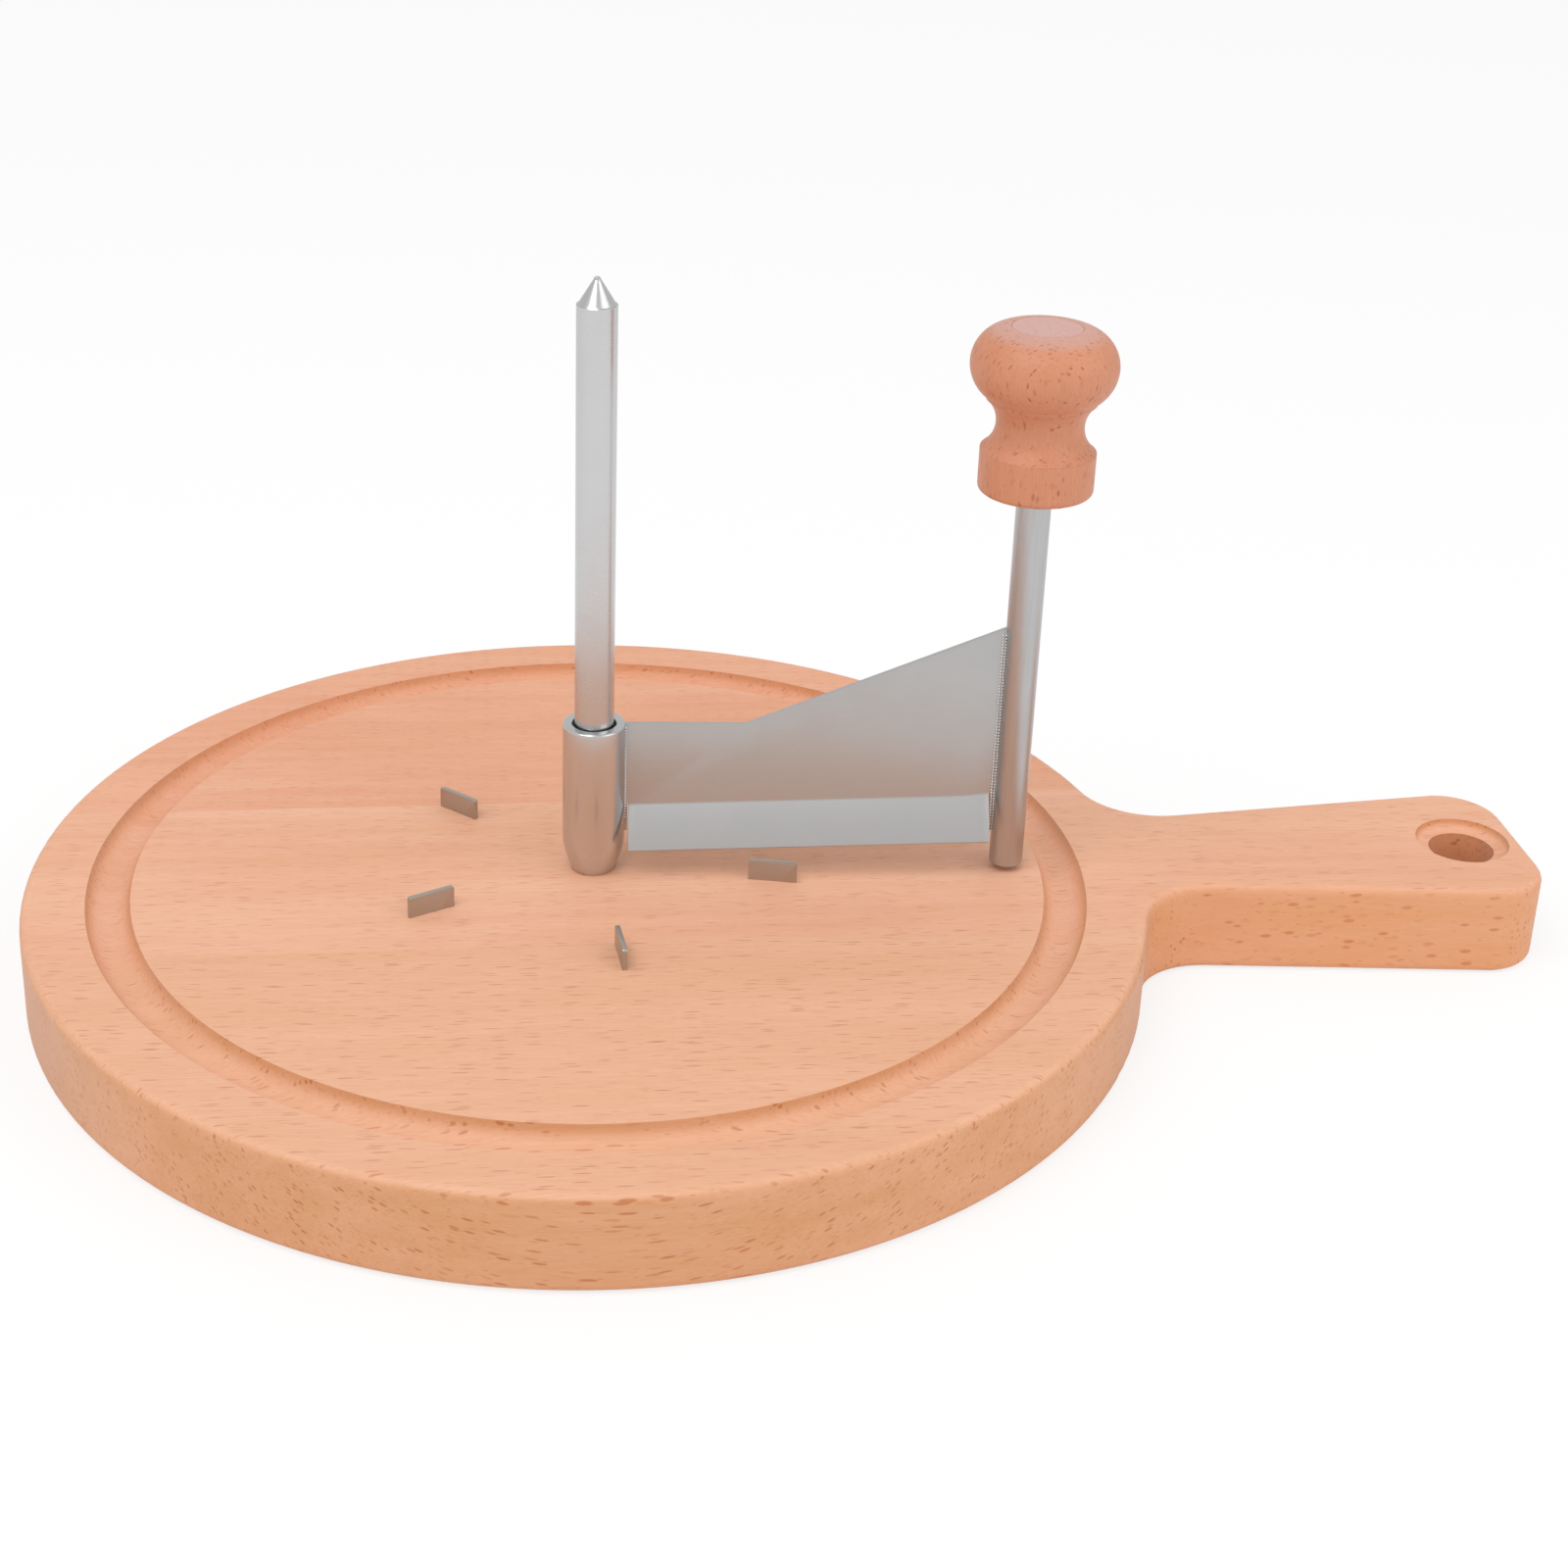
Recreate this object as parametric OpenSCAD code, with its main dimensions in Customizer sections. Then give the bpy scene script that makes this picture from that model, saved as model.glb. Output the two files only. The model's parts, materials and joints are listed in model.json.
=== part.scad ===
// Rotary cheese cutter: a round beech board with a handle, a steel spindle that carries
// a wheel of cheese, and a crank that turns and slides on the spindle and shaves it.
// Millimetres, +Z up, origin on the spindle axis at the board's underside, handle along +X.

/* [Board] */
// Diameter of the round part of the board
board_d = 230; // [190:1:300]
// Thickness of the board
board_t = 20; // [16:0.5:30]
// Rounding of the board's top and bottom edges
edge_r = 2; // [0.5:0.1:4]
// Width of the middle stave, which carries the handle
stave_w = 61; // [56:1:90]
// Sideways shift of the middle stave
stave_shift = -1.5; // [-4:0.1:4]

/* [Crumb groove] */
// Diameter of the groove's centre line
groove_d = 196; // [180:1:206]
// Radius of the round cutter that makes the groove
groove_cutter_r = 4.5; // [3:0.1:5]
// Depth of the groove
groove_depth = 3.5; // [1.5:0.1:4]

/* [Handle] */
// Distance from the spindle to the handle's end
handle_reach = 202; // [180:1:260]
// Width of the handle where it meets the round board
handle_root_w = 30.4; // [26:0.2:40]
// Width that the handle's sides reach at its end
handle_end_w = 48; // [42:0.5:54]
// Corner radius at the handle's end
handle_corner_r = 12; // [9:0.5:18]
// Radius of the hollow corners between board and handle
neck_r = 16; // [8:0.5:20]

/* [Hanging hole] */
// Diameter of the hole through the handle
hang_d = 14; // [8:0.5:16]
// Diameter of the dish around the hole
dish_d = 20; // [18:0.5:24]
// Depth of the dish
dish_depth = 2; // [1:0.1:4]
// Distance from the hole's centre to the handle's end
hang_inset = 13; // [13:0.5:30]
// Chamfer at the hole's lower mouth
hang_chamfer = 1; // [0.3:0.1:2]

/* [Holding plates] */
// Directions of the plates, counted from the handle
plate_angles = [62, 137, 207, 275, 347]; // [0:1:360]
// Diameter of the ring that the plates stand on
plate_ring_d = 75; // [50:1:110]
// Length of a plate along its radius
plate_len = 10; // [6:0.5:16]
// Thickness of a plate
plate_t = 1; // [0.6:0.1:1.5]
// Height of a plate above the board
plate_show = 4.5; // [3:0.1:6]
// Depth of a plate in the board
plate_bed = 9; // [5:0.5:11]

/* [Spindle] */
// Diameter of the spindle
spindle_d = 8; // [6:0.1:9]
// Height of the spindle's tip above the board
spindle_h = 126.1; // [100:0.1:180]
// Length of the cone at the tip
cone_len = 5.3; // [3:0.1:8]
// Diameter of the blunt end of the cone
cone_end_d = 1.3; // [0.6:0.1:2]
// Width of the ledge at the foot of the cone
cone_ledge = 0.3; // [0.1:0.1:0.6]

/* [Spindle screw] */
// Diameter of the screw
screw_d = 5; // [3:0.5:5]
// Length of the screw under its head
screw_len = 15; // [12:1:17]
// Diameter of the screw's head
screw_head_d = 9.5; // [7:0.5:11]
// Height of the screw's head
screw_head_h = 3; // [2:0.1:3.5]
// Diameter of the washer
washer_d = 15; // [13:0.5:16]
// Thickness of the washer
washer_t = 1.2; // [0.8:0.1:2]
// Depth of the recess in the board's underside
recess_depth = 6; // [5.6:0.1:7]
// Wood left between the recess and the spindle's foot
ledge_t = 3; // [2:0.5:4]

/* [Hub] */
// Outer diameter of the hub
hub_d = 12.8; // [11.4:0.1:16]
// Height of the hub
hub_h = 33; // [28:0.5:45]
// Height of the tapered nose
nose_h = 8; // [5:0.5:10]
// Wall at the bottom of the nose
nose_wall = 0.55; // [0.3:0.05:1]
// Wall of the liner that the hub turns on
liner_wall = 0.4; // [0.3:0.05:0.5]
// Depth of the liner's top below the hub's mouth
liner_drop = 1.5; // [0.5:0.1:4]

/* [Blade] */
// Thickness of the blade's sheet
blade_t = 1; // [0.6:0.1:1.5]
// Distance from the spindle to where the top edge starts to climb
climb_start = 31; // [20:1:50]
// Height that the top edge gains up to the rod
climb_h = 21.7; // [10:0.5:26]
// Height of the fold at the hub
fold_h = 14.8; // [14:0.1:18]
// Slope of the fold, rising towards the rod
fold_slope = 1.65; // [0:0.05:2]
// Forward lean of the flap below the fold
flap_angle = 35; // [15:1:45]
// Length of the sheet from the fold to the cutting edge
flap_len = 10.2; // [8:0.1:11]
// Height of the ground bevel at the cutting edge
flap_bevel = 1.2; // [0.5:0.1:2]
// Inner radius of the fold
fold_r = 0.8; // [0.5:0.1:1.5]
// Height of the lower ends of the welded edges
tab_h = 8.5; // [7:0.1:10]
// Width of the welded edge beside the hub
hub_tab_w = 0.5; // [0.3:0.1:1.5]
// Width of the welded edge beside the rod
rod_tab_w = 1; // [0.5:0.1:2]
// Width of the slits that free the flap from the welded edges
flap_slit = 0.2; // [0.1:0.05:0.5]
// Radius of the weld beads
weld_r = 0.5; // [0.3:0.05:0.8]
// Length of open seam above the rod's weld
weld_start = 1.5; // [0.5:0.1:4]

/* [Crank rod] */
// Distance from the spindle to the rod
rod_reach = 86.5; // [70:0.5:89]
// Diameter of the rod
rod_d = 7; // [6:0.1:8]
// Height of the rod's lower end above the board
rod_lift = 1; // [0.5:0.1:3]
// Rounding of the rod's lower end
rod_end_r = 0.8; // [0.3:0.1:2]
// Diameter of the journal that the knob turns on
journal_d = 5.5; // [4.8:0.1:5.8]

/* [Knob] */
// Height of the knob's underside above the board
knob_lift = 84; // [76:1:110]
// Height of the knob
knob_h = 33.5; // [30:0.5:38]
// Diameter of the knob's head
head_d = 29.1; // [27:0.5:34]
// Radius of the head above its widest ring
head_top_r = 7.5; // [6:0.1:8.5]
// Radius of the head below its widest ring
head_low_r = 8; // [7:0.1:9]
// Diameter of the knob's neck
neck_d = 17.4; // [16:0.2:20]
// Radius of the hollow around the neck
neck_cove_r = 6.5; // [5:0.1:7.5]
// Height of the narrowest ring above the knob's underside
neck_h = 14; // [12:0.5:16]
// Diameter of the knob's foot
foot_d = 23; // [21:0.5:26]
// Rounding of the foot's lower edge
foot_edge_r = 1.2; // [0.5:0.1:2]
// Diameter of the plug that closes the knob's top
plug_d = 14; // [12:0.5:15]
// Thickness of the plug
plug_t = 3; // [2:0.5:4]
// Diameter of the knob's screw
knob_screw_d = 4; // [3:0.5:4]
// Length of the knob's screw under its head
knob_screw_len = 12; // [8:1:14]
// Diameter of the knob screw's head
knob_screw_head_d = 7.5; // [6:0.5:8]
// Height of the knob screw's head
knob_screw_head_h = 2.4; // [2:0.1:3]
// Diameter of the knob's washer
knob_washer_d = 11; // [10:0.5:11.5]
// Thickness of the knob's washer
knob_washer_t = 0.8; // [0.5:0.1:1.2]

/* [Fits and rest] */
// Radial clearance of a part that turns or slides
run_gap = 0.05; // [0.02:0.01:0.09]
// Radial clearance around a screw
screw_gap = 0.25; // [0.1:0.05:0.4]
// Play along an axis between parts that turn
end_play = 0.1; // [0.05:0.05:0.3]
// Direction in which the crank rests, counted from the handle
crank_angle = -3.4; // [-180:0.1:180]

/* [Hidden] */
$fn = 96;

beech = [0.90, 0.68, 0.52];
beech_pale = [0.93, 0.73, 0.58];
satin_steel = [0.72, 0.72, 0.73];
bright_steel = [0.84, 0.84, 0.85];
liner_grey = [0.30, 0.30, 0.32];

// Radii and levels that several parts share
board_r = board_d / 2;
spindle_r = spindle_d / 2;
hub_r = hub_d / 2;
rod_r = rod_d / 2;
journal_r = journal_d / 2;
cut = 1;
overlap = 6;

// Handle: the side line, its lean and lines that run inside it
side_slope = (handle_end_w - handle_root_w) / 2 / (handle_reach - board_r);
side_lean = atan(side_slope);
function side_y(x) = handle_root_w / 2 + side_slope * (x - board_r);
function inset_y(x, r) = side_y(x) - r / cos(side_lean);
corner_x = handle_reach - handle_corner_r;
root_r = overlap;
root_x = board_r - 2 * overlap;
side_dir = [cos(side_lean), sin(side_lean)];

// Neck: a circle that touches the round board and the handle's side line
neck_start = [board_r, side_y(board_r) + neck_r / cos(side_lean)];
neck_along = neck_start * side_dir;
neck_run = sqrt(pow(neck_along, 2) - neck_start * neck_start + pow(board_r + neck_r, 2)) - neck_along;
neck_at = neck_start + side_dir * neck_run;
rim_touch = neck_at * board_r / (board_r + neck_r);
side_inner = neck_at + [side_dir.y, -side_dir.x] * (neck_r + overlap);

hang_x = handle_reach - hang_inset;
plate_ring_r = plate_ring_d / 2;

// Spindle seat and its screw, from the board's underside up
recess_d = washer_d + 3;
seat_z = recess_depth + ledge_t;
screw_seat_z = recess_depth - washer_t;
screw_tip_z = screw_seat_z + screw_len;
tap_end_z = screw_tip_z + 2;
screw_fit = run_gap;
drive_w = 3;
drive_depth = 1.8;

// Hub and liner, above the board's top
liner_in_r = spindle_r + run_gap;
liner_out_r = liner_in_r + liner_wall;
hub_bore_r = liner_out_r + run_gap;
nose_bore_r = spindle_r + 2 * run_gap;
nose_r = nose_bore_r + nose_wall;
nose_belly_r = (nose_r + hub_r) / 2 + 0.2;
hub_chamfer = 0.5;
mouth_chamfer = 0.15;

// Blade, in a frame whose X runs from the spindle to the rod
blade_end = rod_reach - rod_r;
blade_top = hub_h + climb_h;
hub_tab_x = hub_r + hub_tab_w;
rod_tab_x = blade_end - rod_tab_w;
flap_start = hub_tab_x + flap_slit;
flap_end = rod_tab_x - flap_slit;
flap_w = (flap_end - flap_start) / cos(fold_slope);
bend_r = fold_r + blade_t / 2;
flap_flat = flap_len - bend_r * flap_angle * PI / 180;
flap_dir = [-sin(flap_angle), -cos(flap_angle)];
bend_angles = [for (i = [0 : 6]) flap_angle * i / 6];
function bend_point(r, a) = r * [cos(a), -sin(a)];
flap_root = flap_slit + blade_t / 2;
flap_back = bend_point(fold_r + blade_t, flap_angle) + (flap_flat - flap_bevel) * flap_dir;
flap_edge = bend_point(fold_r, flap_angle) + flap_flat * flap_dir;
function fold_z(x) = fold_h + (x - flap_start) * tan(fold_slope);
weld_end_gap = 0.4;

// Knob, above the board's top
knob_top = knob_lift + knob_h;
head_z = knob_h - head_top_r;
head_r = head_d / 2;
foot_r = foot_d / 2;
plug_r = plug_d / 2;
journal_top = knob_top - plug_t - knob_screw_head_h - knob_washer_t - 1;
knob_bore_r = journal_r + run_gap;
pocket_z = journal_top - end_play;
throat_r = neck_d / 2 + 1.3;
knob_tap_end = journal_top - knob_screw_len - 1;
knob_drive_w = 2.5;
knob_drive_depth = 1.4;

// Everything on the crank is drawn about the spindle, on the board's top
module crank_place() {
    translate([0, 0, board_t]) rotate([0, 0, crank_angle]) children();
}

// Half section of the board, from its middle to an edge that is rounded above and below
module edge_profile(w) {
    square([w - edge_r, board_t]);
    translate([0, edge_r]) square([w, board_t - 2 * edge_r]);
    translate([w - edge_r, edge_r]) circle(edge_r);
    translate([w - edge_r, board_t - edge_r]) circle(edge_r);
}

module handle_blank() {
    hull() for (side = [-1, 1]) {
        translate([corner_x, side * inset_y(corner_x, handle_corner_r), 0])
            rotate_extrude($fn = 32) edge_profile(handle_corner_r, $fn = 32);
        translate([root_x, side * inset_y(root_x, root_r), 0])
            rotate_extrude($fn = 32) edge_profile(root_r, $fn = 32);
    }
}

// Web of wood that the hollow corner is cut from
module neck_web() {
    linear_extrude(board_t)
        polygon([[0, 0], rim_touch, neck_at, side_inner, [side_inner.x, 0]]);
}

// Cutter for the hollow corner, flared to round its upper and lower edges
module neck_cutter() {
    translate(neck_at) rotate_extrude() {
        translate([0, -cut]) square([neck_r, board_t + 2 * cut]);
        difference() {
            translate([0, board_t - edge_r]) square([neck_r + edge_r, edge_r + cut]);
            translate([neck_r + edge_r, board_t - edge_r]) circle(edge_r);
        }
        difference() {
            translate([0, -cut]) square([neck_r + edge_r, edge_r + cut]);
            translate([neck_r + edge_r, edge_r]) circle(edge_r);
        }
    }
}

module board_blank() {
    difference() {
        union() {
            rotate_extrude() edge_profile(board_r);
            handle_blank();
            neck_web();
            mirror([0, 1, 0]) neck_web();
        }
        neck_cutter();
        mirror([0, 1, 0]) neck_cutter();
    }
}

module groove_cutter() {
    rotate_extrude()
        translate([groove_d / 2, board_t - groove_depth + groove_cutter_r]) circle(groove_cutter_r);
}

// Hole and dish that the board hangs by
module hanging_cutter() {
    translate([hang_x, 0, 0]) {
        translate([0, 0, -cut]) cylinder(d = hang_d, h = board_t + 2 * cut);
        translate([0, 0, -cut])
            cylinder(r1 = hang_d / 2 + hang_chamfer + cut, r2 = hang_d / 2, h = hang_chamfer + cut);
        translate([0, 0, board_t - dish_depth]) rotate_extrude() {
            square([dish_d / 2 - dish_depth, dish_depth + cut]);
            translate([0, dish_depth]) square([dish_d / 2, cut]);
            intersection() {
                translate([dish_d / 2 - dish_depth, dish_depth]) circle(dish_depth);
                square([dish_d / 2, dish_depth]);
            }
        }
    }
}

// Stepped hole for the spindle, its screw and its washer
module spindle_seat_cutter() {
    translate([0, 0, seat_z]) cylinder(r = spindle_r, h = board_t);
    translate([0, 0, -cut]) cylinder(d = screw_d + 2 * screw_gap, h = board_t);
    translate([0, 0, -cut]) cylinder(d = recess_d, h = recess_depth + cut);
}

// Place of one holding plate, in the board's frame
module at_plate(i) {
    rotate([0, 0, plate_angles[i]]) translate([plate_ring_r, 0, board_t - plate_bed]) children();
}

module plate_slot() {
    translate([-plate_len / 2, -plate_t / 2, 0]) cube([plate_len, plate_t, plate_bed + cut]);
}

module board() {
    difference() {
        board_blank();
        groove_cutter();
        hanging_cutter();
        spindle_seat_cutter();
        for (i = [0 : len(plate_angles) - 1]) at_plate(i) plate_slot();
    }
}

// Slice of the board between two glue lines
module stave(low, high) {
    intersection() {
        board();
        translate([-board_d, low, -cut]) cube([2 * board_d + handle_reach, high - low, board_t + 2 * cut]);
    }
}

module board_middle_stave() {
    color(beech) stave(stave_shift - stave_w / 2, stave_shift + stave_w / 2);
}

module board_rear_stave() {
    color(beech_pale) stave(stave_shift + stave_w / 2, board_d);
}

module board_front_stave() {
    color(beech_pale) stave(-board_d, stave_shift - stave_w / 2);
}

module holding_plate(i) {
    color(satin_steel) at_plate(i)
        translate([-plate_len / 2, -plate_t / 2, 0]) cube([plate_len, plate_t, plate_bed + plate_show]);
}

module spindle() {
    cone_z = board_t + spindle_h - cone_len;
    color(satin_steel) difference() {
        rotate_extrude() polygon([
            [0, seat_z], [spindle_r, seat_z], [spindle_r, cone_z], [spindle_r - cone_ledge, cone_z],
            [cone_end_d / 2, board_t + spindle_h], [0, board_t + spindle_h]]);
        translate([0, 0, seat_z - cut]) cylinder(d = screw_d, h = tap_end_z - seat_z + cut);
    }
}

module spindle_screw() {
    color(satin_steel) difference() {
        union() {
            translate([0, 0, screw_seat_z]) cylinder(r = screw_d / 2 - screw_fit, h = screw_len);
            translate([0, 0, screw_seat_z - screw_head_h]) cylinder(d = screw_head_d, h = screw_head_h);
        }
        translate([0, 0, screw_seat_z - screw_head_h - cut])
            cylinder(d = drive_w, h = drive_depth + cut, $fn = 6);
    }
}

module spindle_washer() {
    color(satin_steel) translate([0, 0, screw_seat_z]) difference() {
        cylinder(d = washer_d, h = washer_t);
        translate([0, 0, -cut]) cylinder(d = screw_d + 2 * screw_gap, h = washer_t + 2 * cut);
    }
}

module hub_liner() {
    color(liner_grey) translate([0, 0, board_t + nose_h + end_play]) difference() {
        cylinder(r = liner_out_r, h = hub_h - nose_h - liner_drop - end_play);
        translate([0, 0, -cut]) cylinder(r = liner_in_r, h = hub_h);
    }
}

module hub_sleeve() {
    color(satin_steel) crank_place() rotate_extrude() polygon([
        [nose_bore_r, 0], [nose_r, 0], [nose_belly_r, nose_h / 2], [hub_r, nose_h],
        [hub_r, hub_h - hub_chamfer], [hub_r - hub_chamfer, hub_h],
        [hub_bore_r + mouth_chamfer, hub_h], [hub_bore_r, hub_h - mouth_chamfer],
        [hub_bore_r, nose_h], [nose_bore_r, nose_h]]);
}

// The flat sheet above the fold, with the two edges that run on down to be welded
module blade_sheet() {
    difference() {
        translate([0, blade_t / 2, 0]) rotate([90, 0, 0]) linear_extrude(blade_t) polygon([
            [0, tab_h], [hub_tab_x, tab_h], [hub_tab_x, fold_z(hub_tab_x) + flap_slit],
            [rod_tab_x, fold_z(rod_tab_x) + flap_slit], [rod_tab_x, tab_h],
            [rod_reach, tab_h], [rod_reach, blade_top], [climb_start, hub_h], [0, hub_h]]);
        cylinder(r = hub_r, h = blade_top + cut);
        translate([rod_reach, 0, 0]) cylinder(r = rod_r, h = blade_top + cut);
    }
}

// The fold and the flap, drawn along X from the fold line and leaning forward, to -Y
module blade_flap() {
    translate([flap_start, -bend_r, fold_z(flap_start)]) rotate([0, -fold_slope, 0]) rotate([90, 0, 90])
        linear_extrude(flap_w) polygon(concat(
            [[fold_r + blade_t, flap_root]], [for (a = bend_angles) bend_point(fold_r + blade_t, a)],
            [flap_back, flap_edge], [for (a = bend_angles) bend_point(fold_r, flap_angle - a)],
            [[fold_r, flap_root]]));
}

module blade() {
    color(bright_steel) crank_place() {
        blade_sheet();
        blade_flap();
    }
}

// Two beads, in front of and behind the sheet; what they are welded to is cut from them
module weld_pair(x, low, high) {
    difference() {
        for (side = [-1, 1])
            translate([x, side * blade_t / 2, low]) cylinder(r = weld_r, h = high - low, $fn = 32);
        translate([0, -blade_t / 2, 0]) cube([rod_reach, blade_t, blade_top]);
        children();
    }
}

module hub_weld() {
    color(bright_steel) crank_place()
        weld_pair(hub_r, tab_h + weld_end_gap, hub_h - weld_end_gap)
            cylinder(r = hub_r, h = hub_h);
}

module rod_weld() {
    color(bright_steel) crank_place()
        weld_pair(blade_end, tab_h + weld_end_gap, blade_top - weld_start)
            translate([rod_reach, 0, 0]) cylinder(r = rod_r, h = blade_top);
}

module crank_rod() {
    color(satin_steel) crank_place() translate([rod_reach, 0, 0]) difference() {
        union() {
            rotate_extrude() {
                translate([0, rod_lift]) square([rod_r - rod_end_r, knob_lift - rod_lift]);
                translate([0, rod_lift + rod_end_r]) square([rod_r, knob_lift - rod_lift - rod_end_r]);
                translate([rod_r - rod_end_r, rod_lift + rod_end_r]) circle(rod_end_r);
            }
            cylinder(r = journal_r, h = journal_top);
        }
        translate([0, 0, knob_tap_end]) cylinder(d = knob_screw_d, h = journal_top);
    }
}

module knob_screw() {
    color(satin_steel) crank_place() translate([rod_reach, 0, journal_top + knob_washer_t]) difference() {
        union() {
            translate([0, 0, -knob_screw_len])
                cylinder(r = knob_screw_d / 2 - screw_fit, h = knob_screw_len);
            cylinder(d = knob_screw_head_d, h = knob_screw_head_h);
        }
        translate([0, 0, knob_screw_head_h - knob_drive_depth])
            cylinder(d = knob_drive_w, h = knob_drive_depth + cut, $fn = 6);
    }
}

module knob_washer() {
    color(satin_steel) crank_place() translate([rod_reach, 0, journal_top]) difference() {
        cylinder(d = knob_washer_d, h = knob_washer_t);
        translate([0, 0, -cut]) cylinder(d = knob_screw_d + 2 * screw_gap, h = knob_washer_t + 2 * cut);
    }
}

// Half outline of the knob: foot, hollow neck and round head with a flat top
module knob_outline() {
    difference() {
        union() {
            translate([0, foot_edge_r]) square([foot_r, neck_h - foot_edge_r]);
            square([foot_r - foot_edge_r, neck_h]);
            translate([foot_r - foot_edge_r, foot_edge_r]) circle(foot_edge_r);
            square([throat_r, head_z]);
            intersection() {
                translate([head_r - head_low_r, head_z]) circle(head_low_r);
                square([head_r, head_z]);
            }
            translate([head_r - head_top_r, head_z]) intersection() {
                circle(head_top_r);
                square([head_top_r, head_top_r]);
            }
            square([head_r - head_low_r, head_z]);
            translate([0, head_z]) square([head_r - head_top_r, head_top_r]);
        }
        translate([neck_d / 2 + neck_cove_r, neck_h]) circle(neck_cove_r);
    }
}

module knob() {
    color(beech) crank_place() translate([rod_reach, 0, knob_lift + end_play]) difference() {
        rotate_extrude() intersection() {
            knob_outline();
            square([head_r, knob_h]);
        }
        translate([0, 0, -cut]) cylinder(r = knob_bore_r, h = knob_h);
        translate([0, 0, pocket_z - knob_lift - end_play]) cylinder(r = plug_r, h = knob_h);
    }
}

module knob_plug() {
    color(beech_pale) crank_place()
        translate([rod_reach, 0, knob_top + end_play - plug_t]) cylinder(r = plug_r, h = plug_t);
}

board_middle_stave();
board_rear_stave();
board_front_stave();
holding_plate(0);  // holding_plate_1
holding_plate(1);  // holding_plate_2
holding_plate(2);  // holding_plate_3
holding_plate(3);  // holding_plate_4
holding_plate(4);  // holding_plate_5
spindle();
spindle_screw();
spindle_washer();
hub_liner();
hub_sleeve();
blade();
hub_weld();
rod_weld();
crank_rod();
knob_screw();
knob_washer();
knob();
knob_plug();
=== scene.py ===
"""Rotary cheese cutter: the looks of a beech board with a steel spindle and a crank blade.

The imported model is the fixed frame. Wooden staves and small fasteners keep their own meshes and
get new finishes; the turned, folded and welded steel, the plates and the knob are modelled here.
Lengths are in metres, +Z is up, +X runs along the board's handle.
"""

import json
import logging
import math
from dataclasses import dataclass, field
from enum import Enum
from typing import Optional, Sequence, Union

import bpy
from mathutils import Matrix, Vector


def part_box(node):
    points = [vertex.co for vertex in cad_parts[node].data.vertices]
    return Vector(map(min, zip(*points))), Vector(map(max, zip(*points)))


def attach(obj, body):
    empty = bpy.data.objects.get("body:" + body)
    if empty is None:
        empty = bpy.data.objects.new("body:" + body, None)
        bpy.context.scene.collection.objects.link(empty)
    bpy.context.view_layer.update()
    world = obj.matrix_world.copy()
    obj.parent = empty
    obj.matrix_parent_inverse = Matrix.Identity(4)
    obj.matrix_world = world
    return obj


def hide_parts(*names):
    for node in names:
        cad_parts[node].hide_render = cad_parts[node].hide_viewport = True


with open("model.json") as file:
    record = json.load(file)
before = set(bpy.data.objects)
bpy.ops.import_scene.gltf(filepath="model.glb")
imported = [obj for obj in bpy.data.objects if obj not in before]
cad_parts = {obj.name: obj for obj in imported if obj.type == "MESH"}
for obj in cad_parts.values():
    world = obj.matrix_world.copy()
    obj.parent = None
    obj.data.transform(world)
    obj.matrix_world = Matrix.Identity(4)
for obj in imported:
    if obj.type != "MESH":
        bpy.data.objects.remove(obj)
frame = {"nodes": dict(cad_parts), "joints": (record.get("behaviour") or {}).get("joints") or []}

LOG = logging.getLogger("cheese_cutter")
MM = 0.001
WELD_LIMIT = 1e-7
FULL_TURN = 2.0 * math.pi

Colour = tuple[float, float, float]
Point = tuple[float, float]
Settings = dict[str, object]


class Axis(Enum):
    """The row axis that a grain or a set of turning marks follows."""

    X = 0
    Z = 2


class Edge(Enum):
    """How a turned section ends."""

    ON_AXIS = "on axis"
    RING = "ring"


def srgb(red: int, green: int, blue: int) -> Colour:
    """Turns a colour as it looks on a screen into the linear colour that a shader takes.

    Args:
        red: Red, from 0 to 255.
        green: Green, from 0 to 255.
        blue: Blue, from 0 to 255.

    Returns:
        The linear colour.
    """
    def linear(level: int) -> float:
        """One channel, by the display curve."""
        part = level / 255.0
        return part / 12.92 if part <= 0.04045 else ((part + 0.055) / 1.055) ** 2.4

    return linear(red), linear(green), linear(blue)


def arc(centre: Point, radius: float, start: float, end: float, steps: int) -> list[Point]:
    """Points along a round stretch of a section.

    Args:
        centre: The arc's centre.
        radius: Its radius.
        start: The direction of its first point, in degrees.
        end: The direction of its last point, in degrees.
        steps: The number of spans between them.

    Returns:
        The points, both ends among them.
    """
    turn = [math.radians(start + (end - start) * i / steps) for i in range(steps + 1)]
    return [(centre[0] + radius * math.cos(a), centre[1] + radius * math.sin(a)) for a in turn]


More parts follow.
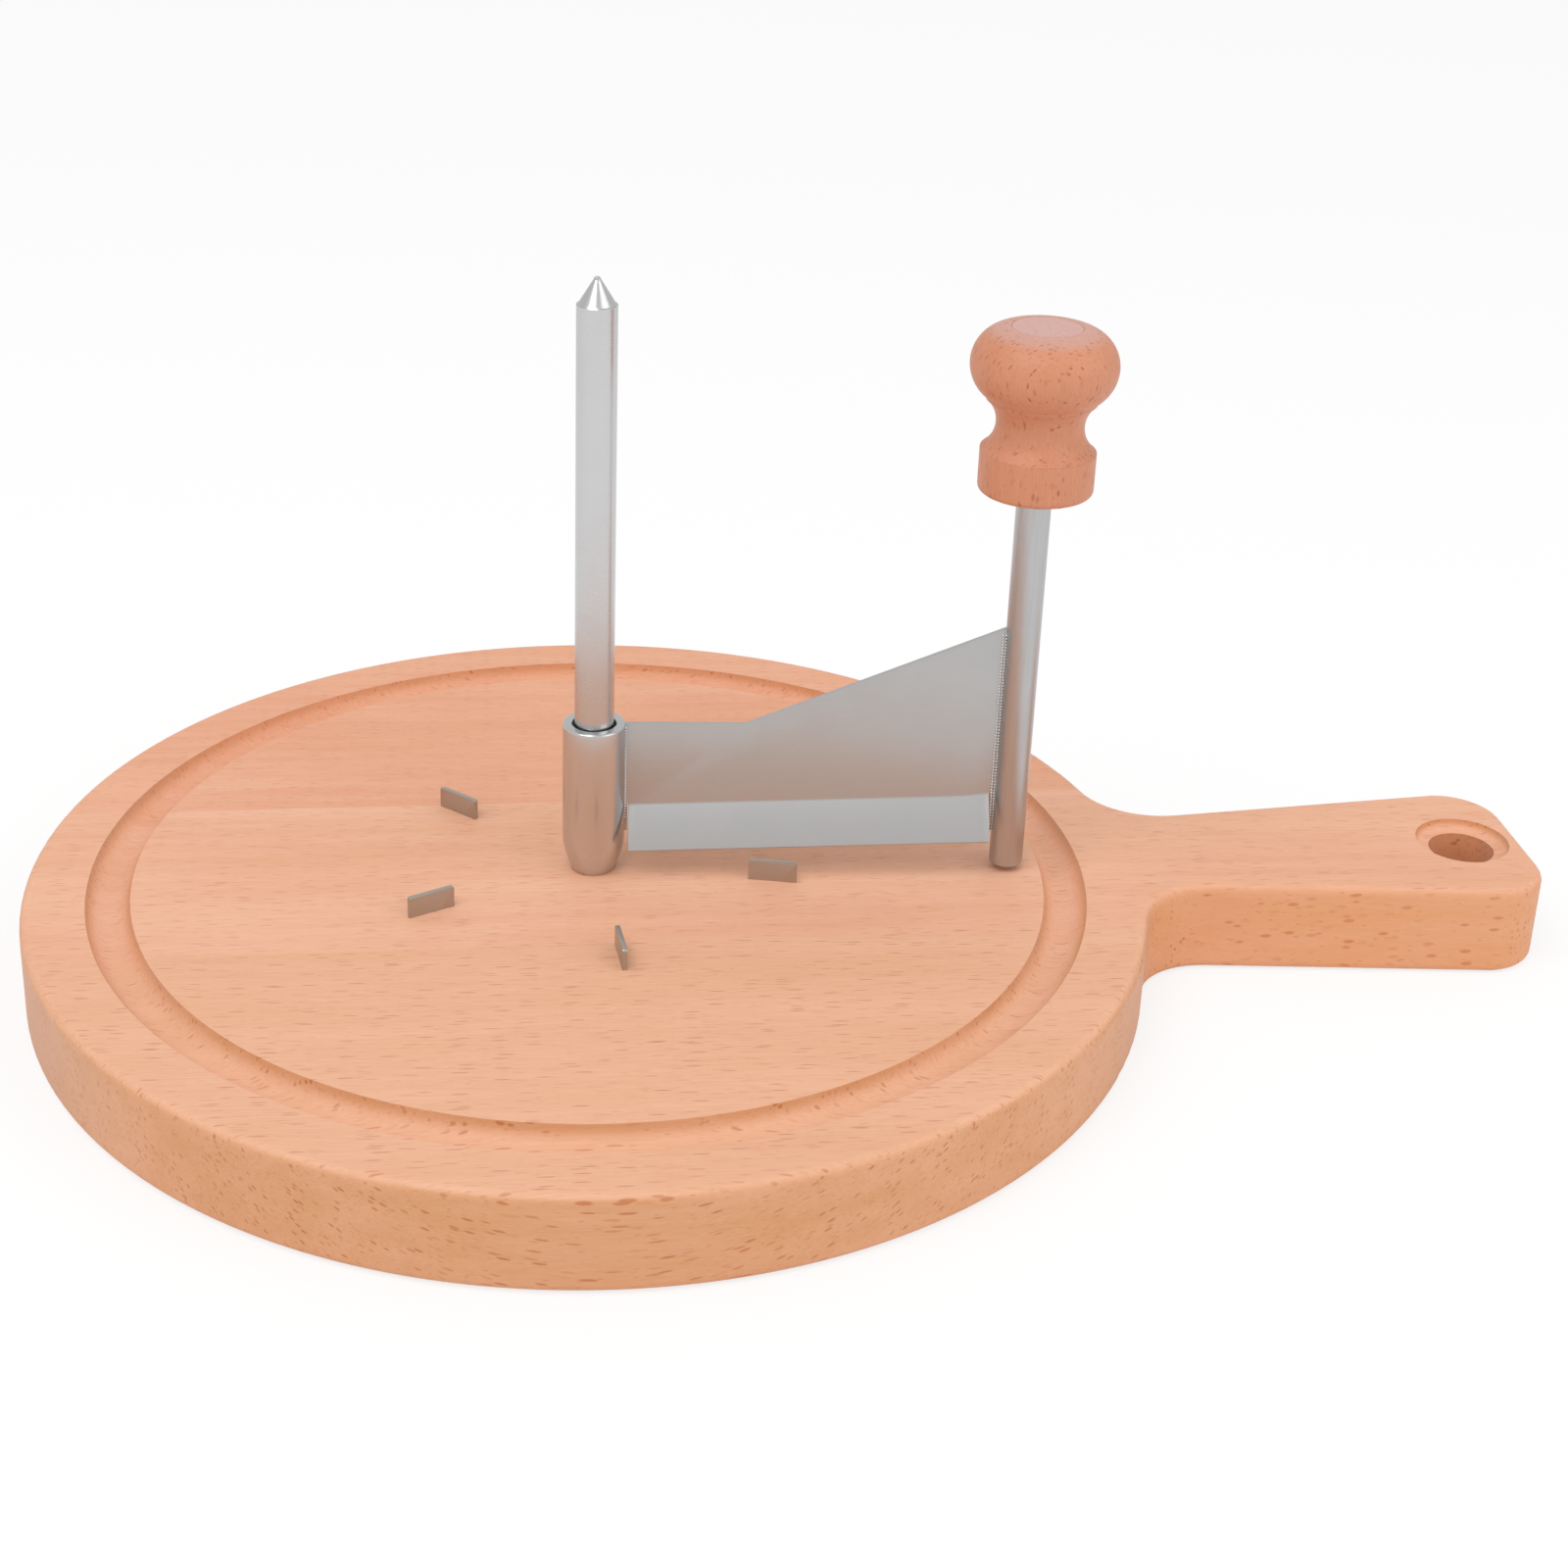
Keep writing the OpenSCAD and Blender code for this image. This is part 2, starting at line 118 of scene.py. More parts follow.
class Wire:
    """A node's output that can be used in sums."""

    def __init__(self, graph: "Graph", socket: bpy.types.NodeSocket) -> None:
        """Keeps the socket and the graph that it belongs to."""
        self.graph = graph
        self.socket = socket

    def __add__(self, other: "Value") -> "Wire":
        """self + other."""
        return self.graph.math("ADD", self, other)

    def __radd__(self, other: "Value") -> "Wire":
        """other + self."""
        return self.graph.math("ADD", other, self)

    def __sub__(self, other: "Value") -> "Wire":
        """self - other."""
        return self.graph.math("SUBTRACT", self, other)

    def __rsub__(self, other: "Value") -> "Wire":
        """other - self."""
        return self.graph.math("SUBTRACT", other, self)

    def __mul__(self, other: "Value") -> "Wire":
        """self * other."""
        return self.graph.math("MULTIPLY", self, other)

    def __rmul__(self, other: "Value") -> "Wire":
        """other * self."""
        return self.graph.math("MULTIPLY", other, self)

    def __truediv__(self, other: "Value") -> "Wire":
        """self / other."""
        return self.graph.math("DIVIDE", self, other)

    def __rtruediv__(self, other: "Value") -> "Wire":
        """other / self."""
        return self.graph.math("DIVIDE", other, self)

    def __pow__(self, other: "Value") -> "Wire":
        """self to the power other."""
        return self.graph.math("POWER", self, other)

    def __rpow__(self, other: "Value") -> "Wire":
        """other to the power self."""
        return self.graph.math("POWER", other, self)

    def __abs__(self) -> "Wire":
        """The size of self without its sign."""
        return self.graph.math("ABSOLUTE", self)


Value = Union[Wire, float, Colour, tuple[float, float, float, float]]


class Graph:
    """The node tree of one material, with short ways to add nodes to it."""

    def __init__(self, name: str) -> None:
        """Starts a material with an empty tree and one principled shader.

        Args:
            name: The material's name.
        """
        self.material = bpy.data.materials.new(name)
        self.material.use_nodes = True
        self.tree = self.material.node_tree
        self.tree.nodes.clear()
        self.shader = self.tree.nodes.new("ShaderNodeBsdfPrincipled")
        output = self.tree.nodes.new("ShaderNodeOutputMaterial")
        self.tree.links.new(self.shader.outputs[0], output.inputs["Surface"])

    def feed(self, socket: bpy.types.NodeSocket, value: Value) -> None:
        """Links a wire to a socket, or sets a constant on it.

        Args:
            socket: The input to feed.
            value: A wire, a number or a colour.
        """
        if isinstance(value, Wire):
            self.tree.links.new(value.socket, socket)
        elif isinstance(value, tuple) and socket.type == "RGBA" and len(value) == 3:
            socket.default_value = (*value, 1.0)
        else:
            socket.default_value = value

    def add(self, kind: str, settings: Optional[Settings] = None,
            values: Optional[dict[Union[str, int], Value]] = None, out: Union[str, int] = 0) -> Wire:
        """Adds a node.

        Args:
            kind: The node's type.
            settings: Its properties, set first; "stops" holds a ramp's positions and colours.
            values: Its inputs, by name or place.
            out: The output to return.

        Returns:
            That output.
        """
        node = self.tree.nodes.new(kind)
        for key, value in (settings or {}).items():
            if key == "stops":
                self.set_stops(node.color_ramp, value)
            else:
                setattr(node, key, value)
        for key, value in (values or {}).items():
            self.feed(node.inputs[key], value)
        return Wire(self, node.outputs[out])

    @staticmethod
    def set_stops(ramp: bpy.types.ColorRamp, stops: Sequence[tuple[float, Colour]]) -> None:
        """Gives a colour ramp its stops.

        Args:
            ramp: The ramp.
            stops: Positions and colours, in order.
        """
        while len(ramp.elements) < len(stops):
            ramp.elements.new(1.0)
        for element, (position, colour) in zip(ramp.elements, stops):
            element.position = position
            element.color = (*colour, 1.0)

    def math(self, operation: str, *values: Value) -> Wire:
        """Adds a Math node.

        Args:
            operation: What it does.
            values: Its operands.

        Returns:
            Its result.
        """
        return self.add("ShaderNodeMath", {"operation": operation}, dict(enumerate(values)))

    def mix(self, amount: Value, first: Value, second: Value, blend: str = "MIX") -> Wire:
        """Mixes two colours.

        Args:
            amount: How much of the second.
            first: The first colour.
            second: The second colour.
            blend: The way they mix.

        Returns:
            The mixed colour.
        """
        settings = {"data_type": "RGBA", "blend_type": blend, "clamp_factor": True}
        return self.add("ShaderNodeMix", settings, {0: amount, 6: first, 7: second}, out=2)

    def span(self, value: Value, low: float, high: float, start: float = 0.0, end: float = 1.0) -> Wire:
        """Turns a value into a smooth step.

        Args:
            value: The value.
            low: Where the step starts.
            high: Where it ends.
            start: The result before the step.
            end: The result after it.

        Returns:
            The step.
        """
        values = {"Value": value, "From Min": low, "From Max": high, "To Min": start, "To Max": end}
        return self.add("ShaderNodeMapRange", {"interpolation_type": "SMOOTHSTEP"}, values)

    def place(self) -> Wire:
        """The surface point in the piece's own coordinates, which are the row's."""
        return self.add("ShaderNodeTexCoord", out="Object")

    def facing(self) -> tuple[Wire, Wire, Wire]:
        """The three parts of the surface's own direction."""
        normal = self.add("ShaderNodeTexCoord", out="Normal")
        parts = self.tree.nodes.new("ShaderNodeSeparateXYZ")
        self.feed(parts.inputs[0], normal)
        return Wire(self, parts.outputs[0]), Wire(self, parts.outputs[1]), Wire(self, parts.outputs[2])

    def mapped(self, vector: Wire, shift: Colour = (0.0, 0.0, 0.0), turn: Colour = (0.0, 0.0, 0.0),
               cell: Colour = (1.0, 1.0, 1.0)) -> Wire:
        """Moves, turns and then divides coordinates into cells.

        Args:
            vector: The coordinates.
            shift: How far to move them, in metres.
            turn: How far to turn them about each axis, in radians.
            cell: The size of one cell along each turned axis, in metres.

        Returns:
            The new coordinates.
        """
        turned = self.add("ShaderNodeMapping", {"vector_type": "POINT"},
                          {"Vector": vector, "Location": shift, "Rotation": turn})
        return self.add("ShaderNodeVectorMath", {"operation": "DIVIDE"}, {0: turned, 1: cell})

    def noise(self, vector: Wire, detail: float = 2.0, roughness: float = 0.5) -> Wire:
        """Soft noise with one cell per unit of its coordinates.

        Args:
            vector: The coordinates.
            detail: How many finer layers it has.
            roughness: How strong they are.

        Returns:
            The noise, from 0 to 1.
        """
        values = {"Vector": vector, "Scale": 1.0, "Detail": detail, "Roughness": roughness}
        return self.add("ShaderNodeTexNoise", {"noise_dimensions": "3D"}, values)

    def cells(self, vector: Wire) -> tuple[Wire, Wire]:
        """Scattered points, one per unit of their coordinates.

        Args:
            vector: The coordinates.

        Returns:
            The distance to the nearest point, and a number from 0 to 1 that is that point's own.
        """
        node = self.tree.nodes.new("ShaderNodeTexVoronoi")
        self.feed(node.inputs["Vector"], vector)
        node.inputs["Scale"].default_value = 1.0
        parts = self.add("ShaderNodeSeparateColor", values={0: Wire(self, node.outputs["Color"])})
        return Wire(self, node.outputs["Distance"]), parts

    def bump(self, height: Wire, depth: float) -> Wire:
        """A normal that follows a height.

        Args:
            height: The height, from 0 to 1.
            depth: What a height of 1 means, in metres.

        Returns:
            The normal.
        """
        return self.add("ShaderNodeBump", values={"Strength": 1.0, "Distance": depth, "Height": height})

    def surface(self, **values: Value) -> bpy.types.Material:
        """Feeds the shader and returns the finished material.

        Args:
            values: The shader's inputs, with underscores for spaces.

        Returns:
            The material.
        """
        for key, value in values.items():
            self.feed(self.shader.inputs[key.replace("_", " ")], value)
        return self.material


@dataclass(frozen=True)
class Beech:
    """Sanded beech: a warm ground, fine fibres, and thin rays that show as short dark dashes."""

    name: str
    ground: Colour
    deep: Colour
    # side and side_ray are darker, more saturated copies of ground and ray: painted shade for the faces that
    # don't face up. side_ray also tints the fibres on every face.
    side: Colour
    end: Colour
    ray: Colour
    side_ray: Colour
    grain: Axis = Axis.X
    ray_tilt: float = 0.0
    figure: Colour = (0.0, 0.0, 0.0)
    ray_length: float = 6.2 * MM
    ray_pitch: float = 0.56 * MM
    ray_depth: float = 1.8 * MM
    roughness: float = 0.5

    def material(self) -> bpy.types.Material:
        """Builds the material.

        Returns:
            The material, with its figure in the row's own coordinates.
        """
        g = Graph(self.name)
        along = (0.0, 0.0, 0.0) if self.grain is Axis.X else (0.0, math.radians(90.0), 0.0)
        place = g.mapped(g.place(), shift=self.figure, turn=along)
        tilted = (math.radians(self.ray_tilt), 0.0, math.radians(1.5))

        across_x, across_y, across_z = g.facing()
        if self.grain is Axis.X:
            end_face, top_face = abs(across_x), abs(across_z)
        else:
            end_face, top_face = abs(across_z), abs(across_y) * 0.0
        on_end = g.span(end_face, 0.72, 0.98)
        # Painted shade mask: faces that don't face up take the side colours; with an upright grain it covers
        # every face.
        shaded_side_mask = 1.0 - g.span(top_face, 0.35, 0.9)

        # Slow drifts of tone, stretched along the grain, and fine fibres
        drift = g.noise(g.mapped(place, turn=tilted, cell=(0.11, 0.021, 0.021)), 3.0, 0.55)
        band = g.noise(g.mapped(place, turn=tilted, cell=(0.07, 0.0042, 0.0042)), 2.0, 0.5)
        fibre = g.noise(g.mapped(place, turn=tilted, cell=(0.009, 0.00035, 0.00035)), 3.0, 0.65)
        tone = g.span(drift, 0.3, 0.7) * 0.55 + g.span(band, 0.25, 0.75) * 0.45

        # Rays: flat lenses that lie along the grain, cut open by the surface
        cell = (self.ray_length, self.ray_pitch, self.ray_depth)
        reach, chance = g.cells(g.mapped(place, turn=tilted, cell=cell))
        strength = g.span(chance, 0.15, 0.9, 0.25, 1.0)
        rays = g.span(reach, 0.17, 0.31, 1.0, 0.0) * strength
        small = (self.ray_length * 0.45, self.ray_pitch * 0.55, self.ray_depth * 0.45)
        reach_small, chance_small = g.cells(g.mapped(place, shift=(0.31, 0.17, 0.53), turn=tilted, cell=small))
        specks = g.span(reach_small, 0.12, 0.3, 1.0, 0.0) * g.span(chance_small, 0.4, 0.9)

        ground = g.mix(tone, self.ground, self.deep)
        # Painted shade: the sides take side and side_ray, darker copies of the wood and its rays.
        side = g.mix(tone * 0.8, self.side, self.deep)
        wood = g.mix(shaded_side_mask, ground, side)
        wood = g.mix(on_end * 0.8, wood, self.end)
        wood = g.mix(g.span(fibre, 0.3, 0.75) * 0.16, wood, self.side_ray)
        mark = g.mix(shaded_side_mask, self.ray, self.side_ray)
        wood = g.mix(rays * 0.72, wood, mark)
        wood = g.mix(specks * 0.4, wood, mark)

        relief = fibre * 0.5 - rays * 0.5
        shine = g.span(fibre, 0.2, 0.8, self.roughness - 0.06, self.roughness + 0.08)
        return g.surface(Base_Color=wood, Roughness=shine, Normal=g.bump(relief, 0.06 * MM),
                         Specular_IOR_Level=0.35)


@dataclass(frozen=True)
class Steel:
    """Stainless steel: a satin ground with fine marks from turning, drawing or rolling."""

    name: str
    tint: Colour
    roughness: float
    metallic: float = 1.0
    marks: Colour = (0.004, 0.004, 0.0001)
    mark_depth: float = 0.004 * MM
    mark_tone: float = 0.08
    smudge: float = 0.05

    def material(self) -> bpy.types.Material:
        """Builds the material.

        Returns:
            The material. Its marks are cells of the size that marks gives along each axis.
        """
        g = Graph(self.name)
        place = g.place()
        lines = g.noise(g.mapped(place, cell=self.marks), 3.0, 0.7)
        cloud = g.noise(g.mapped(place, cell=(0.012, 0.012, 0.016)), 3.0, 0.6)
        dark = tuple(0.72 * part for part in self.tint)
        worn = g.span(lines, 0.35, 0.75) * self.mark_tone + g.span(cloud, 0.35, 0.7) * self.smudge
        shine = (self.roughness - 0.05) + lines * 0.08 + g.span(cloud, 0.3, 0.7) * 0.06
        return g.surface(Base_Color=g.mix(worn, self.tint, dark), Metallic=self.metallic, Roughness=shine,
                         Normal=g.bump(lines, self.mark_depth))


@dataclass(frozen=True)
class Moulding:
    """A moulded plastic with a fine matt grain, in the tint that it is given."""

    name: str
    tint: Colour
    roughness: float

    def material(self) -> bpy.types.Material:
        """Builds the material.

        Returns:
            The material.
        """
        g = Graph(self.name)
        grain = g.noise(g.mapped(g.place(), cell=(0.0004, 0.0004, 0.0004)), 2.0, 0.6)
        pale = tuple(1.4 * part for part in self.tint)
        return g.surface(Base_Color=g.mix(grain * 0.5, self.tint, pale), Roughness=self.roughness,
                         Normal=g.bump(grain, 0.01 * MM))


class Bench:
    """The modelling operators that the pieces share, each with everything deselected first."""

    @staticmethod
    def clear() -> None:
        """Deselects every object."""
        bpy.ops.object.select_all(action="DESELECT")

    @staticmethod
    def pick(piece: bpy.types.Object) -> None:
        """Selects one object and makes it active."""
        Bench.clear()
        piece.select_set(True)
        bpy.context.view_layer.objects.active = piece

    @staticmethod
    def dot(name: str, start: Sequence[float]) -> bpy.types.Object:
        """Starts a piece as one vertex, in edit mode.

        Args:
            name: The piece's name.
            start: Where the vertex lies.

        Returns:
            The piece.
        """
        Bench.clear()
        bpy.ops.mesh.primitive_plane_add(size=MM)
        piece = bpy.context.active_object
        piece.name = name
        bpy.ops.object.mode_set(mode="EDIT")
        bpy.ops.mesh.select_mode(type="VERT")
        bpy.ops.mesh.select_all(action="SELECT")
        bpy.ops.mesh.merge(type="CENTER")
        bpy.ops.transform.translate(value=tuple(start))
        return piece

    @staticmethod
    def draw(points: Sequence[Sequence[float]]) -> None:
        """Extrudes the selected vertex through the other points of a line.

        Args:
            points: The line, from the vertex's own place on.
        """
        for here, there in zip(points, points[1:]):
            step = Vector(there) - Vector(here)
            bpy.ops.mesh.extrude_region_move(TRANSFORM_OT_translate={"value": tuple(step)})

    @staticmethod
    def close(piece: bpy.types.Object) -> None:
        """Merges doubles, turns the faces outwards and leaves edit mode."""
        bpy.ops.mesh.select_all(action="SELECT")
        bpy.ops.mesh.remove_doubles(threshold=WELD_LIMIT)
        bpy.ops.mesh.normals_make_consistent(inside=False)
        bpy.ops.object.mode_set(mode="OBJECT")
        Bench.pick(piece)

    @staticmethod
    def finish(piece: bpy.types.Object, kind: str, **settings: object) -> None:
        """Adds a modifier and applies it.

        Args:
            piece: The piece.
            kind: The modifier's type.
            settings: Its properties.
        """
        Bench.pick(piece)
        modifier = piece.modifiers.new(kind.title(), kind)
        for key, value in settings.items():
            setattr(modifier, key, value)
        bpy.ops.object.modifier_apply(modifier=modifier.name)

    @staticmethod
    def smooth(piece: bpy.types.Object, degrees: float = 32.0) -> None:
        """Shades a piece smooth up to an angle."""
        Bench.pick(piece)
        bpy.ops.object.shade_smooth_by_angle(angle=math.radians(degrees))

    @staticmethod
    def settle(piece: bpy.types.Object) -> None:
        """Moves an object's place, turn and scale into its mesh."""
        Bench.pick(piece)
        bpy.ops.object.transform_apply(location=True, rotation=True, scale=True)

    @staticmethod
    def turned(name: str, section: Sequence[Point], axis: Point, end: Edge = Edge.ON_AXIS,
               steps: int = 96) -> bpy.types.Object:
        """Turns a half section once round an upright axis.

        Args:
            name: The piece's name.
            section: Its radius and height, point by point.
            axis: Where the axis stands.
            end: Whether the section ends on the axis or closes into a ring.
            steps: The number of spans round the axis.

        Returns:
            The piece.
        """
        line = [(axis[0] + radius, axis[1], height) for radius, height in section]
        if end is Edge.RING:
            line.append(line[0])
        piece = Bench.dot(name, line[0])
        Bench.draw(line)
        bpy.ops.mesh.select_all(action="SELECT")
        bpy.ops.mesh.remove_doubles(threshold=WELD_LIMIT)
        bpy.ops.mesh.select_all(action="SELECT")
        bpy.ops.mesh.spin(steps=steps, angle=FULL_TURN, center=(axis[0], axis[1], 0.0), axis=(0.0, 0.0, 1.0))
        Bench.close(piece)
        return piece

    @staticmethod
    def joined(pieces: Sequence[bpy.types.Object], name: str) -> bpy.types.Object:
        """Joins pieces into the first of them.

        Args:
            pieces: The pieces.
            name: The joined piece's name.

        Returns:
            The joined piece.
        """
        Bench.clear()
        for piece in pieces:
            piece.select_set(True)
        bpy.context.view_layer.objects.active = pieces[0]
        bpy.ops.object.join()
        pieces[0].name = name
        return pieces[0]


def dress(piece: bpy.types.Object, material: bpy.types.Material) -> None:
    """Gives a piece one material.

    Args:
        piece: The piece.
        material: The material.
    """
    piece.data.materials.clear()
    piece.data.materials.append(material)


def seat(piece: bpy.types.Object, body: str, slot: str, material: bpy.types.Material, *nodes: str) -> None:
    """Finishes a modelled piece and sets it in place of the nodes that it stands for.

    Args:
        piece: The piece.
        body: The body that it rides on.
        slot: The record's material slot; not used.
        material: Its material.
        nodes: The nodes that it replaces.
    """
    dress(piece, material)
    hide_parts(*nodes)
    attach(piece, body)
    LOG.info("%s: %d faces, on %s", piece.name, len(piece.data.polygons), body)


BOARD_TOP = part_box("board_rear_stave")[1].z
KNOB_JOINT = next(joint for joint in frame["joints"] if joint["name"] == "knob_turn")
ROD_AXIS: Point = (KNOB_JOINT["pos_m"][0], KNOB_JOINT["pos_m"][1])
ROD_REACH = math.hypot(*ROD_AXIS)
CRANK_ANGLE = math.atan2(ROD_AXIS[1], ROD_AXIS[0])
SPINDLE_AXIS: Point = (0.0, 0.0)


def above(height: float) -> float:
    """A height over the board's top in millimetres, as a row height in metres."""
    return BOARD_TOP + height * MM


@dataclass
class Board:
    """The three glued staves, which keep their own meshes and get their wood."""

    body: str = "stand"
    staves: dict[str, Beech] = field(default_factory=lambda: {
        "board_middle_stave": Beech(
            "beech_middle", ground=srgb(240, 186, 156), deep=srgb(231, 172, 136), side=srgb(226, 158, 108),
            end=srgb(214, 164, 134), ray=srgb(205, 144, 112), side_ray=srgb(196, 118, 70),
            ray_tilt=-4.0, figure=(0.213, 0.037, 0.052)),
        "board_rear_stave": Beech(
            "beech_rear", ground=srgb(238, 180, 148), deep=srgb(230, 164, 128), side=srgb(218, 152, 106),
            end=srgb(214, 164, 134), ray=srgb(208, 142, 108), side_ray=srgb(190, 110, 62),
            ray_tilt=12.0, figure=(0.407, 0.131, 0.077), ray_length=4.2 * MM, ray_pitch=0.44 * MM),
        "board_front_stave": Beech(
            "beech_front", ground=srgb(237, 184, 151), deep=srgb(230, 174, 138), side=srgb(216, 156, 110),
            end=srgb(212, 164, 136), ray=srgb(198, 134, 100), side_ray=srgb(184, 104, 56),
            ray_tilt=32.0, figure=(0.611, 0.229, 0.018), ray_length=7.0 * MM, ray_pitch=0.6 * MM)})

    def build(self) -> None:
        """Dresses the staves."""
        for node, finish in self.staves.items():
            stave = frame["nodes"][node]
            dress(stave, finish.material())
            LOG.info("%s: %d faces, kept", node, len(stave.data.polygons))


@dataclass
class Spindle:
    """The spindle with its turned cone, and the screw and washer that hold it from below."""

    finish: Steel
    fastener_finish: Steel
    body: str = "stand"
    radius: float = 4.0 * MM
    cone_foot: float = 120.8
    ledge: float = 0.3 * MM
    tip: float = 126.1
    tip_radius: float = 0.65 * MM
    rings: int = 11
    ring_depth: float = 0.05 * MM

    def section(self) -> list[Point]:
        """The spindle's half section, with the turned rings on its cone.

        Returns:
            Radii and heights from the foot up.
        """
        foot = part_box("spindle")[0].z
        low, high = above(self.cone_foot), above(self.tip)
        wide = self.radius - self.ledge
        points = [(0.0, foot), (self.radius, foot), (self.radius, low - 0.15 * MM),
                  (self.radius - 0.15 * MM, low), (wide, low)]
        for i in range(1, 2 * self.rings):
            part = i / (2 * self.rings)
            dip = self.ring_depth if i % 2 else 0.0
            points.append((wide + (self.tip_radius - wide) * part - dip, low + (high - low) * part * 0.93))
        points += [(self.tip_radius, high - 0.25 * MM), (self.tip_radius * 0.6, high - 0.04 * MM), (0.0, high)]
        return points

    def build(self) -> None:
        """Models the spindle and dresses its fasteners."""
        piece = Bench.turned("spindle_bar", self.section(), SPINDLE_AXIS)
        Bench.smooth(piece, 25.0)
        seat(piece, self.body, "brushed_stainless", self.finish.material(), "spindle")
        fastener = self.fastener_finish.material()
        for node in ("spindle_screw", "spindle_washer"):
            dress(frame["nodes"][node], fastener)


@dataclass
class HoldingPlates:
    """The thin plates that stand radially around the spindle and bite into the cheese."""

    finish: Steel
    body: str = "stand"
    length: float = 10.0 * MM
    thickness: float = 1.0 * MM
    corner: float = 0.5 * MM
    edge: float = 0.12 * MM
    count: int = 5

    def plate(self, index: int) -> bpy.types.Object:
        """Models one plate at its node's place.

        Args:
            index: Which plate, from 1.

        Returns:
            The plate.
        """
        low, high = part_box(f"holding_plate_{index}")
        centre = (low + high) / 2.0
        height = high.z - low.z
        Bench.clear()
        bpy.ops.mesh.primitive_cube_add(size=1.0, scale=(self.length, self.thickness, height))
        piece = bpy.context.active_object
        piece.name = f"bite_plate_{index}"
        Bench.settle(piece)
        bpy.ops.object.mode_set(mode="EDIT")
        bpy.ops.mesh.select_mode(type="EDGE")
        bpy.ops.mesh.select_all(action="DESELECT")
        bpy.ops.object.mode_set(mode="OBJECT")
        for edge in piece.data.edges:
            ends = [piece.data.vertices[i].co for i in edge.vertices]
            upper = all(end.z > 0.0 for end in ends)
            edge.select = upper and abs(ends[0].y - ends[1].y) > 0.5 * self.thickness
        bpy.ops.object.mode_set(mode="EDIT")
        bpy.ops.mesh.bevel(offset=self.corner, segments=3, affect="EDGES")
        bpy.ops.object.mode_set(mode="OBJECT")
        Bench.finish(piece, "BEVEL", width=self.edge, segments=2, limit_method="ANGLE",
                     angle_limit=math.radians(60.0))
        piece.matrix_world = Matrix.Translation(centre) @ Matrix.Rotation(math.atan2(centre.y, centre.x), 4, "Z")
        Bench.settle(piece)
        Bench.smooth(piece)
        return piece

    def build(self) -> None:
        """Models every plate."""
        material = self.finish.material()
        for index in range(1, self.count + 1):
            seat(self.plate(index), self.body, "brushed_stainless", material, f"holding_plate_{index}")


@dataclass
class Hub:
    """The hub's tapered tube and the thin liner that shows in its mouth."""

    finish: Steel
    liner_finish: Moulding
    radius: float = 6.4 * MM
    nose_radius: float = 4.65 * MM
    nose_bore: float = 4.1 * MM
    bore: float = 4.5 * MM
    height: float = 33.0
    nose: float = 8.0
    lip: float = 0.45

    def sleeve_section(self) -> list[Point]:
        """The tube's half section, closed into a ring.

        Returns:
            Radii and heights, up the outside and down the bore.
        """
        belly = [(self.nose_radius + (self.radius - self.nose_radius) * math.sin(math.pi / 2 * part) ** 1.15,
                  above(self.nose * part)) for part in (0.15, 0.3, 0.45, 0.6, 0.75, 0.9)]
        mouth = arc((self.radius - self.lip * MM, above(self.height - self.lip)), self.lip * MM, 0.0, 90.0, 5)
        return [(self.nose_bore, above(0.0)), (self.nose_radius - 0.2 * MM, above(0.0)),
                (self.nose_radius, above(0.2)), *belly, (self.radius - 0.02 * MM, above(self.nose)),
                (self.radius, above(self.nose + 0.25)), *mouth,
                (self.bore + 0.15 * MM, above(self.height)), (self.bore, above(self.height - 0.15)),
                (self.bore, above(self.nose)), (self.nose_bore, above(self.nose))]

    def build(self) -> None:
        """Models the tube and dresses its liner."""
        sleeve = Bench.turned("hub_tube", self.sleeve_section(), SPINDLE_AXIS, Edge.RING)
        Bench.smooth(sleeve, 28.0)
        seat(sleeve, "crank", "brushed_stainless", self.finish.material(), "hub_sleeve")
        dress(frame["nodes"]["hub_liner"], self.liner_finish.material())


